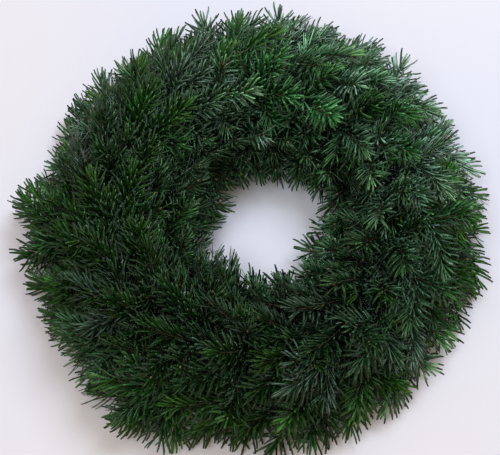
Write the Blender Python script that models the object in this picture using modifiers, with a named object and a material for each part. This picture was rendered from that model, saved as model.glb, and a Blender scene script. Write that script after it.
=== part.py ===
"""A fresh fir wreath lying flat: cut fir sprays bound with wire onto a two-rail ring frame.

Metres, +Z up. The origin is the centre of the ring, on the surface that the wreath lies on.
Run it with: blender --background --python part.py

The wreath is worked out in the ring's own coordinates. A point is given by its distance from
the ring's centreline, its tilt (0 degrees outwards, 90 up, 180 towards the hole) and its turn
round the ring. Every spray keeps to a cell of its own in tilt and turn, so no two meet.
"""

import math
import random
from dataclasses import dataclass

import bmesh
import bpy
from mathutils import Matrix, Vector

MM = 0.001

# Ring frame: two rails of round wire, with ties welded under them that stand on the surface.
RING_RADIUS = 152.4 * MM
RAIL_OFFSET = 12 * MM
RAIL_WIRE_RADIUS = 1.6 * MM
RAIL_HEIGHT = 3.2 * MM
RAIL_SIDES = 6
RAIL_STEPS = 30
TIE_COUNT = 9
TIE_THICKNESS = 2.4 * MM
TIE_OVERHANG = 1.2 * MM
TIE_TURN = 5

# Binding wire: one turn round the frame and the stems for each station.
BINDING_RADIUS = 0.6 * MM
BINDING_SIDE = 16.8 * MM
BINDING_CORNER = 15.6 * MM
BINDING_LOW = 0.9 * MM
BINDING_HIGH = 8.8 * MM

# Stems lie in three lanes on top of the rails.
STATIONS = 18
STATION_STEP = 360 / STATIONS
STEM_HEIGHT = 6.9 * MM
STEM_RADIUS = 2 * MM
STEM_RUN = 16
STEM_POINTS = 2
LEAVE_AT = 26 * MM
LEAVE_TURN = -2

# Shoots: a three-sided twig with rings of needles raised from its faces.
SHOOT_SIDES = 3
TIP_RADIUS = 1.2 * MM
FORK_BEND = 0.2
NEEDLE_LENGTH = 20 * MM
NEEDLE_LENGTH_SPREAD = 0.12
NEEDLE_ROOT = 4 * MM
NEEDLE_RINGS = 3
NEEDLE_RING_SPACING = 21 * MM
NEEDLE_SPREADS = (56, 46, 36, 26, 18, 12)
SHORTENED = (1.0, 0.75, 0.5)
BUD_LENGTH = 4 * MM
CELL_GAP = 1.2 * MM
FLOOR_GAP = 0.5 * MM

# Natural unevenness: how much farther out each station's sprays reach, then seeded spreads.
STATION_GROWTH = (6, 0, -8, -1, 0, -4, -1, -4, -8, 5, -7, 5, 4, -2, -6, -1, -3, 5)
SEED = 41
REACH_SPREAD = 3.5 * MM
TILT_SPREAD = 2.5
TURN_SPREAD = 1.0
HOLE_SHIFT = 12 * MM

NEEDLE_GREEN = (0.018, 0.060, 0.024, 1.0)
FRAME_GREEN = (0.020, 0.045, 0.030, 1.0)
BINDING_GREEN = (0.015, 0.035, 0.020, 1.0)


@dataclass(frozen=True)
class Tip:
    """Where a shoot ends, and how far out it forks from its spray's main shoot (0: it is the main)."""

    tilt: float
    turn: float
    reach: float
    fork: float = 0.0


@dataclass(frozen=True)
class Row:
    """One ring of sprays: the lane of their stems, where they leave it, and the cell they fill.

    Inside the hole, shift moves the hole's centre to one side of the ring's.
    """

    name: str
    lane: float
    leave: float
    lean: float
    low: float
    high: float
    swell: float
    shift: float
    tips: tuple


ROWS = (
    Row("outer_spray", 12 * MM, 11.5, -60, -12, 41, 1, 0,
        (Tip(12, 0.5, 143 * MM),
         Tip(4, -6.5, 139 * MM, 52 * MM),
         Tip(6, 6.5, 140 * MM, 64 * MM),
         Tip(31, -1.0, 134 * MM, 42 * MM))),
    Row("crown_spray", 0, 16, -170, 41, 106, 0.5, 0,
        (Tip(66, 3.5, 124 * MM),
         Tip(50, -4.5, 130 * MM, 40 * MM),
         Tip(92, -3.0, 113 * MM, 46 * MM))),
    Row("inner_spray", -12 * MM, 20.5, -160, 106, 192, 0, HOLE_SHIFT,
        (Tip(126, 1.0, 89 * MM),
         Tip(158, -2.0, 76 * MM, 36 * MM))),
)


def rad(degrees: float) -> float:
    return math.radians(degrees)


def ring_point(distance: float, tilt: float, turn: float) -> Vector:
    """The point at a distance from the ring's centreline, at a tilt and a turn in degrees."""
    radius = RING_RADIUS + distance * math.cos(rad(tilt))
    height = STEM_HEIGHT + distance * math.sin(rad(tilt))
    return Vector((radius * math.cos(rad(turn)), radius * math.sin(rad(turn)), height))


def lean_at(row: Row, distance: float) -> float:
    """How far a row's shoots have swept round the ring at this distance, in degrees."""
    return row.lean * (distance - LEAVE_AT)


def in_cell(point: Vector, row: Row, leave: float) -> bool:
    """Whether a point lies in its spray's cell, clear of the cell's walls and the surface below."""
    radius = math.hypot(point.x, point.y)
    out, up = radius - RING_RADIUS, point.z - STEM_HEIGHT
    distance = math.hypot(out, up)
    tilt = math.degrees(math.atan2(up, out))
    if tilt < -90:
        tilt += 360
    turn = math.degrees(math.atan2(point.y, point.x)) - leave - lean_at(row, distance) - LEAVE_TURN / 2
    turn = (turn + 180) % 360 - 180
    side = STATION_STEP / 2 - math.degrees(CELL_GAP / radius)
    gap = math.degrees(CELL_GAP / distance)
    return abs(turn) < side and row.low + gap < tilt < row.high - gap and point.z > FLOOR_GAP


def varied(tip: Tip, growth: float, dice: random.Random) -> Tip:
    """A tip that reaches farther by growth, with its natural unevenness."""
    return Tip(
        tip.tilt + dice.uniform(-1, 1) * TILT_SPREAD,
        tip.turn + dice.uniform(-1, 1) * TURN_SPREAD,
        tip.reach + growth + dice.uniform(-1, 1) * REACH_SPREAD,
        tip.fork,
    )


def shoot_point(row: Row, leave: float, start: Tip, tip: Tip, share: float) -> Vector:
    """A point on a shoot that leaves its start wide and ends pointing away from the ring.

    Distance grows evenly with share; tilt and turn follow a quarter sine wave.
    """
    eased = math.sin(share * math.pi / 2)
    distance = start.reach + (tip.reach - start.reach) * share
    tilt = start.tilt + (tip.tilt - start.tilt) * eased
    turn = start.turn + (tip.turn - start.turn) * eased
    return ring_point(distance, tilt, leave + turn + lean_at(row, distance))


def ring_shares(length: float) -> list:
    """Where a shoot's rings of needles start and end, as shares of its length, the outermost last."""
    shares = []
    room = (length * (1 - FORK_BEND) - NEEDLE_ROOT) / NEEDLE_RING_SPACING
    for k in reversed(range(min(NEEDLE_RINGS, int(room) + 1))):
        outer = length - k * NEEDLE_RING_SPACING
        shares += [(outer - NEEDLE_ROOT) / length, outer / length]
    return shares


def stem_points(row: Row, leave: float, first: Vector) -> list:
    """A stem's path: along its lane on the rails, then in a round bend up to the shoot's first point."""
    tilt = 0 if row.lane >= 0 else 180
    lane = abs(row.lane)
    run = [leave + STEM_RUN - (STEM_RUN - 4) * k / (STEM_POINTS - 1) for k in range(STEM_POINTS)]
    points = [ring_point(lane, tilt, turn) for turn in run]
    corner = ring_point(lane, tilt, leave - 1)
    t = 0.55
    points.append(points[-1] * (1 - t) ** 2 + corner * 2 * t * (1 - t) + first * t * t)
    return points


def needle_point(root: Vector, axis_point: Vector, along: Vector, row: Row, leave: float, length: float):
    """The end of the needle at root. It leans forward, or is shorter, where its cell is narrow."""
    out = root - axis_point
    out = (out - along * out.dot(along)).normalized()
    for share in SHORTENED:
        for spread in NEEDLE_SPREADS:
            end = root + (out * math.sin(rad(spread)) + along * math.cos(rad(spread))) * length * share
            if in_cell(end, row, leave):
                return end
    return root


def tube_rings(bm: bmesh.types.BMesh, path: list, radii: list, down: Vector) -> list:
    """Extrudes a closed tube along a path, one corner of its section towards down.

    Returns the side faces of each stretch, in order.
    """
    steps = [(b - a).normalized() for a, b in zip(path, path[1:])]
    along = steps[0]
    side = down.cross(along).normalized()
    section = Matrix((side, along.cross(side), along)).transposed().to_4x4()
    section.translation = path[0]
    bmesh.ops.create_circle(bm, cap_ends=True, radius=radii[0], segments=SHOOT_SIDES, matrix=section)
    cap = max(bm.faces, key=lambda face: face.index)
    rings = []
    for k in range(1, len(path)):
        ahead = (steps[k - 1] + steps[min(k, len(steps) - 1)]).normalized()
        turn = along.rotation_difference(ahead)
        grown = bmesh.ops.extrude_face_region(bm, geom=[cap])["geom"]
        if k > 1:
            bm.faces.remove(cap)
        cap = next(item for item in grown if isinstance(item, bmesh.types.BMFace))
        for vert in cap.verts:
            vert.co = path[k] + turn @ (vert.co - path[k - 1]) * (radii[k] / radii[k - 1])
        rings.append([face for edge in cap.edges for face in edge.link_faces if face != cap])
        along = ahead
    bud = bmesh.ops.poke(bm, faces=[cap])["verts"][0]
    bud.co = path[-1] + along * BUD_LENGTH
    bmesh.ops.recalc_face_normals(bm, faces=bm.faces)
    return rings


def raise_needles(bm, faces, start, end, row, leave, dice) -> None:
    """Raises a needle from every triangle of one ring of a twig's faces."""
    along = (end - start).normalized()
    triangles = bmesh.ops.triangulate(bm, faces=faces)["faces"]
    for vert in bmesh.ops.poke(bm, faces=triangles)["verts"]:
        axis_point = start + along * (vert.co - start).dot(along)
        length = NEEDLE_LENGTH * (1 + dice.uniform(-1, 1) * NEEDLE_LENGTH_SPREAD)
        vert.co = needle_point(vert.co.copy(), axis_point, along, row, leave, length)


def grow_shoot(name: str, row: Row, leave: float, start: Tip, tip: Tip, dice: random.Random):
    """One leafy shoot as a mesh object: a main shoot with its stem, or a side shoot rooted in one."""
    length = tip.reach - start.reach
    leafy = ring_shares(length)
    bare = [0] if tip.fork else [0, FORK_BEND]
    path = [shoot_point(row, leave, start, tip, share) for share in bare + leafy]
    if not tip.fork:
        path = stem_points(row, leave, path[0]) + path
    base = STEM_RADIUS if not tip.fork else (STEM_RADIUS + TIP_RADIUS) / 2
    radii = [base + (TIP_RADIUS - base) * k / (len(path) - 1) for k in range(len(path))]
    bm = bmesh.new()
    rings = tube_rings(bm, path, radii, Vector((0, 0, -1)))
    for k in range(len(path) - len(leafy), len(path), 2):
        raise_needles(bm, rings[k], path[k], path[k + 1], row, leave, dice)
    mesh = bpy.data.meshes.new(name)
    bm.to_mesh(mesh)
    bm.free()
    return bpy.data.objects.new(name, mesh)


def keep_largest_shell(mesh) -> None:
    """Removes the loose scraps and sealed hollows that a union leaves between crossing needles."""
    bm = bmesh.new()
    bm.from_mesh(mesh)
    waiting = set(bm.verts)
    shells = []
    while waiting:
        shell = []
        reached = [waiting.pop()]
        while reached:
            vert = reached.pop()
            shell.append(vert)
            beside = {edge.other_vert(vert) for edge in vert.link_edges} & waiting
            waiting -= beside
            reached += beside
        shells.append(shell)
    shells.sort(key=len)
    bmesh.ops.delete(bm, geom=[vert for shell in shells[:-1] for vert in shell], context="VERTS")
    bm.to_mesh(mesh)
    bm.free()


def fuse(body, others: list, material) -> None:
    """Joins other objects to body with one Boolean union, then removes them."""
    joined = bpy.data.collections.new("joined")
    bpy.context.scene.collection.children.link(joined)
    for other in others:
        joined.objects.link(other)
    union = body.modifiers.new("union", "BOOLEAN")
    union.operand_type = "COLLECTION"
    union.collection = joined
    union.operation = "UNION"
    union.solver = "MANIFOLD"
    graph = bpy.context.evaluated_depsgraph_get()
    fused = bpy.data.meshes.new_from_object(body.evaluated_get(graph))
    keep_largest_shell(fused)
    body.modifiers.clear()
    body.data = fused
    fused.materials.clear()
    fused.materials.append(material)
    for other in others:
        bpy.data.objects.remove(other)
    bpy.data.collections.remove(joined)


def make_material(name: str, colour: tuple, roughness: float, metallic: float):
    material = bpy.data.materials.new(name)
    material.use_nodes = True
    shader = material.node_tree.nodes["Principled BSDF"]
    shader.inputs["Base Color"].default_value = colour
    shader.inputs["Roughness"].default_value = roughness
    shader.inputs["Metallic"].default_value = metallic
    return material


def build_spray(collection, row: Row, station: int, dice: random.Random, material) -> None:
    """One spray: a main shoot with its stem, and the side shoots that fork from it."""
    leave = station * STATION_STEP + row.leave
    growth = row.swell * STATION_GROWTH[station] * MM - row.shift * math.cos(rad(leave))
    tips = [varied(tip, growth, dice) for tip in row.tips]
    main = tips[0]
    start = Tip(main.tilt, LEAVE_TURN, LEAVE_AT)
    name = f"{row.name}_{station + 1:02d}"
    body = grow_shoot(name, row, leave, start, main, dice)
    collection.objects.link(body)
    sides = []
    for number, tip in enumerate(tips[1:], 1):
        share = (tip.fork - LEAVE_AT) / (main.reach - LEAVE_AT)
        eased = math.sin(share * math.pi / 2)
        fork = Tip(main.tilt, LEAVE_TURN + (main.turn - LEAVE_TURN) * eased, tip.fork)
        sides.append(grow_shoot(f"{name}_side_{number}", row, leave, fork, tip, dice))
    fuse(body, sides, material)


def build_rail(collection, name: str, radius: float):
    """A closed round rail, turned from a profile with flat sides above and below."""
    profile = bpy.data.meshes.new(name)
    half = math.pi / RAIL_SIDES
    corners = []
    for k in range(RAIL_SIDES):
        angle = math.pi / 2 + half - k * 2 * half
        corners.append((radius + RAIL_WIRE_RADIUS * math.cos(angle), 0,
                        RAIL_HEIGHT + RAIL_WIRE_RADIUS * math.sin(angle)))
    profile.from_pydata(corners, [(k, (k + 1) % RAIL_SIDES) for k in range(RAIL_SIDES)], [])
    rail = bpy.data.objects.new(name, profile)
    collection.objects.link(rail)
    screw = rail.modifiers.new("turn", "SCREW")
    screw.steps = screw.render_steps = RAIL_STEPS
    screw.use_merge_vertices = True
    screw.merge_threshold = 0.00001
    graph = bpy.context.evaluated_depsgraph_get()
    rail.data = bpy.data.meshes.new_from_object(rail.evaluated_get(graph))
    rail.modifiers.clear()
    return rail


def build_tie(name: str, turn: float):
    """A straight bar under both rails, flat on the surface."""
    bm = bmesh.new()
    bmesh.ops.create_cube(bm, size=1)
    length = 2 * (RAIL_OFFSET + RAIL_WIRE_RADIUS + TIE_OVERHANG)
    bmesh.ops.scale(bm, vec=(length, TIE_THICKNESS, TIE_THICKNESS), verts=bm.verts)
    middle = ring_point(0, 0, turn)
    middle.z = TIE_THICKNESS / 2
    bm.transform(Matrix.Translation(middle) @ Matrix.Rotation(rad(turn), 4, "Z"))
    mesh = bpy.data.meshes.new(name)
    bm.to_mesh(mesh)
    bm.free()
    return bpy.data.objects.new(name, mesh)


def build_frame(collection) -> None:
    """The ring frame: two rails and the ties that hold them apart, welded into one piece."""
    frame = build_rail(collection, "ring_frame", RING_RADIUS + RAIL_OFFSET)
    inner = build_rail(collection, "inner_rail", RING_RADIUS - RAIL_OFFSET)
    collection.objects.unlink(inner)
    ties = [build_tie(f"tie_{k}", TIE_TURN + k * 360 / TIE_COUNT) for k in range(TIE_COUNT)]
    fuse(frame, [inner] + ties, make_material("frame_wire", FRAME_GREEN, 0.45, 0.3))


def build_binding(collection) -> None:
    """The binding wire: one long helix that holds the stems down on the rails."""
    section = (
        (BINDING_SIDE, STEM_HEIGHT - 2.4 * MM, 0.0),
        (BINDING_CORNER, BINDING_HIGH, 0.06),
        (-BINDING_CORNER, BINDING_HIGH, 0.44),
        (-BINDING_SIDE, STEM_HEIGHT - 2.4 * MM, 0.5),
        (-BINDING_CORNER, BINDING_LOW, 0.56),
        (BINDING_CORNER, BINDING_LOW, 0.94),
    )
    points = []
    for station in range(STATIONS):
        for out, height, share in section:
            turn = rad((station + share) * STATION_STEP)
            radius = RING_RADIUS + out
            points.append((radius * math.cos(turn), radius * math.sin(turn), height))
    curve = bpy.data.curves.new("binding_wire", "CURVE")
    curve.dimensions = "3D"
    curve.bevel_depth = BINDING_RADIUS
    curve.bevel_resolution = 0
    curve.use_fill_caps = True
    spline = curve.splines.new("POLY")
    spline.points.add(len(points) - 1)
    for slot, point in zip(spline.points, points):
        slot.co = (*point, 1)
    curve.materials.append(make_material("binding_wire", BINDING_GREEN, 0.5, 0.2))
    collection.objects.link(bpy.data.objects.new("binding_wire", curve))


def main() -> None:
    for old in list(bpy.data.objects):
        bpy.data.objects.remove(old)
    wreath = bpy.data.collections.new("fir_wreath")
    bpy.context.scene.collection.children.link(wreath)
    build_frame(wreath)
    build_binding(wreath)
    needles = make_material("fir_needles", NEEDLE_GREEN, 0.5, 0.0)
    dice = random.Random(SEED)
    for row in ROWS:
        for station in range(STATIONS):
            build_spray(wreath, row, station, dice, needles)


main()
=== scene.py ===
"""The looks of a fresh fir wreath: leafy sprays of flat needles wired onto a ring frame.

Lengths are in metres, +Z is up, and the origin is the ring's centre on the surface below. Points
are worked out in the ring's own coordinates: distance from the ring's centreline, tilt (0 degrees
outwards, 90 up, 180 towards the hole) and turn round the ring.
"""

from __future__ import annotations

import logging
import math
import random
from dataclasses import dataclass, field, fields
from enum import Enum, IntEnum

import bpy
import numpy as np
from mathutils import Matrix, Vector

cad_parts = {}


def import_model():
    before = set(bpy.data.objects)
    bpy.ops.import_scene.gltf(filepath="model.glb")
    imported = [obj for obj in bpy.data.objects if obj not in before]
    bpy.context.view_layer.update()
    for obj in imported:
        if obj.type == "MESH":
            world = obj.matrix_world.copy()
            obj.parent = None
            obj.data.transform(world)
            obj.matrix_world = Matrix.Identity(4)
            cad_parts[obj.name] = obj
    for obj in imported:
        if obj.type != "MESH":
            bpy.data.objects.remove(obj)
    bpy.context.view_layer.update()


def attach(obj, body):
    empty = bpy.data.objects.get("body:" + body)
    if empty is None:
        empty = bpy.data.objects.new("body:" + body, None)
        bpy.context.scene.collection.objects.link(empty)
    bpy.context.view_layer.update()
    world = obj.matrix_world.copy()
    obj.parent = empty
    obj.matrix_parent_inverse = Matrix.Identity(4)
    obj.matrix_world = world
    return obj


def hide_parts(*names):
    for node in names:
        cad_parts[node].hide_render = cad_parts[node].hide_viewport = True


MM = 0.001
LOG = logging.getLogger("fir_wreath")
Socket = bpy.types.NodeSocket
Pair = tuple[float, float]

# The ring, its stations and the sprays' seeded spreads, as the solids have them. The growths, in
# millimetres, are fitted: how much farther out each station's sprays reach.
RING_RADIUS = 152.4 * MM
STEM_HEIGHT = 6.9 * MM
STATIONS = 18
STATION_STEP = 360 / STATIONS
STEM_RUN = 16.0
LEAVE_AT = 26 * MM
LEAVE_TURN = -2.0
FORK_BEND = 0.2
NEEDLE_RING_SPACING = 21 * MM
NEEDLE_ROOT = 4 * MM
NEEDLE_RINGS = 3
NEEDLES_A_RING = 6
STATION_GROWTH = (6, 0, -8, -1, 0, -4, -1, -4, -8, 5, -7, 5, 4, -2, -6, -1, -3, 5)
SOLID_SEED = 41
REACH_SPREAD = 3.5 * MM
TILT_SPREAD = 2.5
TURN_SPREAD = 1.0
HOLE_SHIFT = 12 * MM

# How far the foliage reaches from the ring's centreline at each tilt.
REACH_TILTS = (-12, 6, 31, 50, 66, 92, 126, 158, 192)
REACHES = tuple(reach * MM for reach in (138, 140, 134, 130, 124, 113, 89, 76, 72))

# The heart of the foliage, and how far from there its edge begins, as shares of that reach.
HEART = 0.35
HEART_TO_EDGE = 0.55

# The depths, from 0 to 1, between which the painted shade on a needle eases from the
# heart's, darkest, to the tips'.
PAINTED_SHADE_DEPTHS = (0.25, 0.95)

# How far the needles reach at the rim, every 10 degrees round it, as measured and then fitted.
RIM_STEP = 10
RIM = tuple(reach * MM for reach in (
    142, 158, 141, 145, 157, 134, 165, 148, 162, 145, 144, 143, 161, 134, 147, 148, 123, 142,
    172, 147, 142, 140, 136, 158, 161, 147, 114, 140, 157, 140, 144, 143, 139, 145, 143, 159))

# How far from the axis the needles stop at the hole, every 20 degrees round it, fitted too.
HOLE_STEP = 20
HOLE = tuple(radius * MM for radius in (
    95, 99, 90, 65, 67, 61, 61, 54, 34, 44, 67, 76, 50, 77, 79, 93, 88, 75))

FOLIAGE_SEED = 7
# The seeds of how the boughs that the sprays are cut from differ in lightness and in blueness.
# Each was picked out of 40,000 tried, for where its light or its blue boughs fall, so that the
# lighter and darker sprays are partly painted light and painted shade.
LIGHTNESS_SEED = 36880
BLUENESS_SEED = 15153
GOLDEN_ANGLE = math.radians(137.508)


# --- Small helpers ---


def linear(hex_colour: str) -> tuple[float, float, float, float]:
    """Turns an sRGB hex colour into the linear colour that a shader reads.

    Each channel c becomes c / 12.92 below 0.04045, and ((c + 0.055) / 1.055) ** 2.4 above it.

    Args:
        hex_colour: Six hex digits, such as "2a4a2b".

    Returns:
        Red, green, blue and an alpha of 1.
    """
    channels = [int(hex_colour[k : k + 2], 16) / 255 for k in (0, 2, 4)]
    return (*(c / 12.92 if c <= 0.04045 else ((c + 0.055) / 1.055) ** 2.4 for c in channels), 1.0)


def unit(vectors: np.ndarray) -> np.ndarray:
    """Scales each vector of an (n, 3) array to length 1."""
    return vectors / np.maximum(np.linalg.norm(vectors, axis=-1, keepdims=True), 1e-12)


def square_to(vectors: np.ndarray, along: np.ndarray) -> np.ndarray:
    """The unit part of each vector that is square to along: v - (v . a) a, scaled to 1."""
    return unit(vectors - (vectors * along).sum(-1, keepdims=True) * along)


def smooth_step(x: np.ndarray) -> np.ndarray:
    """3x^2 - 2x^3, with x held between 0 and 1."""
    x = np.clip(x, 0, 1)
    return x * x * (3 - 2 * x)


def ring_points(distance: np.ndarray, tilt: np.ndarray, turn: np.ndarray) -> np.ndarray:
    """Points in the ring's coordinates.

    radius = ring radius + distance cos(tilt), height = stem height + distance sin(tilt).

    Args:
        distance: Distances from the ring's centreline, in metres.
        tilt: Tilts in degrees.
        turn: Turns round the ring in degrees.

    Returns:
        An (n, 3) array of points.
    """
    distance, tilt, turn = np.broadcast_arrays(distance, np.radians(tilt), np.radians(turn))
    radius = RING_RADIUS + distance * np.cos(tilt)
    height = STEM_HEIGHT + distance * np.sin(tilt)
    return np.stack([radius * np.cos(turn), radius * np.sin(turn), height], -1)


def ring_directions(points: np.ndarray) -> tuple[np.ndarray, np.ndarray, np.ndarray]:
    """The directions out from the ring's centreline, up its tilt and round its turn, at each point.

    Args:
        points: An (n, 3) array.

    Returns:
        Three (n, 3) arrays of unit vectors.
    """
    radius = np.hypot(points[:, 0], points[:, 1])
    flat = np.stack([points[:, 0] / radius, points[:, 1] / radius, np.zeros(len(points))], -1)
    tilt = np.arctan2(points[:, 2] - STEM_HEIGHT, radius - RING_RADIUS)[:, None]
    up = np.array([0.0, 0.0, 1.0])
    outward = np.cos(tilt) * flat + np.sin(tilt) * up
    upward = -np.sin(tilt) * flat + np.cos(tilt) * up
    return outward, upward, np.cross(up, flat)


def depth_in_foliage(points: np.ndarray) -> np.ndarray:
    """How near the foliage's edge each point is, by its distance over the foliage's reach there.

    It eases from 0 at 0.35 of the reach to 1 at 0.9 of it, and sets the painted shade in the
    foliage's heart.

    Args:
        points: An (n, 3) array.

    Returns:
        0 in the heart of the ring, 1 at the tips.
    """
    out = np.hypot(points[:, 0], points[:, 1]) - RING_RADIUS
    rise = points[:, 2] - STEM_HEIGHT
    reach = np.interp(np.degrees(np.arctan2(rise, out)) % 360, REACH_TILTS, REACHES)
    return smooth_step((np.hypot(out, rise) / reach - HEART) / HEART_TO_EDGE)


# --- Surfaces ---


FULLY_SMOOTH = 180.0


class Skin(IntEnum):
    """The material slots of a leafy piece, in order."""

    UPPER = 0
    UNDER = 1
    BARK = 2
    BUD = 3
    CUT = 4


@dataclass
class Surface:
    """Triangles with the values that their materials read.

    place holds, for each point, how far along its needle or twig it is, from -1 to 1 how far
    across it, and how near the foliage's edge, which sets the painted shade deep in the foliage.
    tone holds a needle's own shade, painted light and shade included, its shoot's blueness and
    how young it is. cells holds each corner's place on the piece's flat map.
    """

    points: np.ndarray
    faces: np.ndarray
    skins: np.ndarray
    place: np.ndarray
    tone: np.ndarray
    cells: np.ndarray

    @staticmethod
    def joined(parts: list[Surface]) -> Surface:
        """One surface of several: points and faces in order, the faces renumbered.

        Args:
            parts: The surfaces.

        Returns:
            The whole.
        """
        whole = {key: np.concatenate([getattr(part, key) for part in parts])
                 for key in ("points", "skins", "place", "tone", "cells")}
        starts = np.cumsum([0] + [len(part.points) for part in parts[:-1]])
        faces = np.concatenate([part.faces + start for part, start in zip(parts, starts)])
        return Surface(faces=faces, **whole)

    def to_object(self, name: str, materials: list[bpy.types.Material],
                  crease: float = FULLY_SMOOTH) -> bpy.types.Object:
        """Makes the mesh object, smooth but for edges sharper than crease.

        Args:
            name: The object's name.
            materials: One material for each slot, in order.
            crease: The least angle of a sharp edge, in degrees.

        Returns:
            The object, linked to the scene.
        """
        mesh = bpy.data.meshes.new(name)
        mesh.vertices.add(len(self.points))
        mesh.vertices.foreach_set("co", self.points.astype(np.float32).ravel())
        mesh.loops.add(self.faces.size)
        mesh.loops.foreach_set("vertex_index", self.faces.astype(np.int32).ravel())
        mesh.polygons.add(len(self.faces))
        mesh.polygons.foreach_set("loop_start", np.arange(0, self.faces.size, 3, dtype=np.int32))
        mesh.polygons.foreach_set("material_index", self.skins.astype(np.int32))
        for key, values in (("place", self.place), ("tone", self.tone)):
            layer = mesh.attributes.new(key, "FLOAT_VECTOR", "POINT")
            layer.data.foreach_set("vector", values.astype(np.float32).ravel())
        flat_map = mesh.uv_layers.new(name="OFBake")
        flat_map.data.foreach_set("uv", self.cells.astype(np.float32).ravel())
        mesh.update(calc_edges=True)
        mesh.shade_smooth()
        if crease < FULLY_SMOOTH:
            mesh.set_sharp_from_angle(angle=math.radians(crease))
        for material in materials:
            mesh.materials.append(material)
        piece = bpy.data.objects.new(name, mesh)
        bpy.context.scene.collection.objects.link(piece)
        return piece


def carried_frames(path: np.ndarray, start: np.ndarray) -> tuple[np.ndarray, np.ndarray]:
    """Directions across a path that turn with it and don't twist.

    normal starts as start, and at each section loses its part along the path's new direction.
    side = along x normal.

    Args:
        path: An (n, 3) array of points.
        start: The first normal, roughly.

    Returns:
        normal and side, each an (n, 3) array.
    """
    along = unit(np.gradient(path, axis=0))
    normal = np.empty_like(along)
    last = start
    for k, direction in enumerate(along):
        last = square_to(last, direction)
        normal[k] = last
    return normal, np.cross(along, normal)


def tube(path: np.ndarray, radii: np.ndarray, start: np.ndarray,
         sides: int) -> tuple[np.ndarray, np.ndarray, np.ndarray]:
    """A round profile carried along a path: p + r (cos(a) normal + sin(a) side).

    Args:
        path: An (n, 3) array of points.
        radii: The profile's radius at each point.
        start: The first normal.
        sides: How many sides the profile has.

    Returns:
        Points (n * sides, 3), triangles, and each triangle corner's place on the unrolled tube.
    """
    normal, side = carried_frames(path, start)
    angle = (np.arange(sides) * 2 * math.pi / sides)[None, :, None]
    ring = np.cos(angle) * normal[:, None] + np.sin(angle) * side[:, None]
    points = path[:, None] + radii[:, None, None] * ring
    k, j = np.meshgrid(np.arange(len(path) - 1), np.arange(sides), indexing="ij")
    k, j = k.ravel(), j.ravel()
    after = (j + 1) % sides
    a, b, c, d = k * sides + j, k * sides + after, (k + 1) * sides + after, (k + 1) * sides + j
    faces = np.stack([a, b, c, a, c, d], -1).reshape(-1, 3)
    u, v = j / sides, k / (len(path) - 1)
    wide, tall = 1 / sides, 1 / (len(path) - 1)
    corners = [(u, v), (u + wide, v), (u + wide, v + tall),
               (u, v), (u + wide, v + tall), (u, v + tall)]
    unrolled = np.stack([np.stack(corner, -1) for corner in corners], 1).reshape(-1, 2)
    return points.reshape(-1, 3), faces, unrolled


# --- Finishes ---


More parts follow.
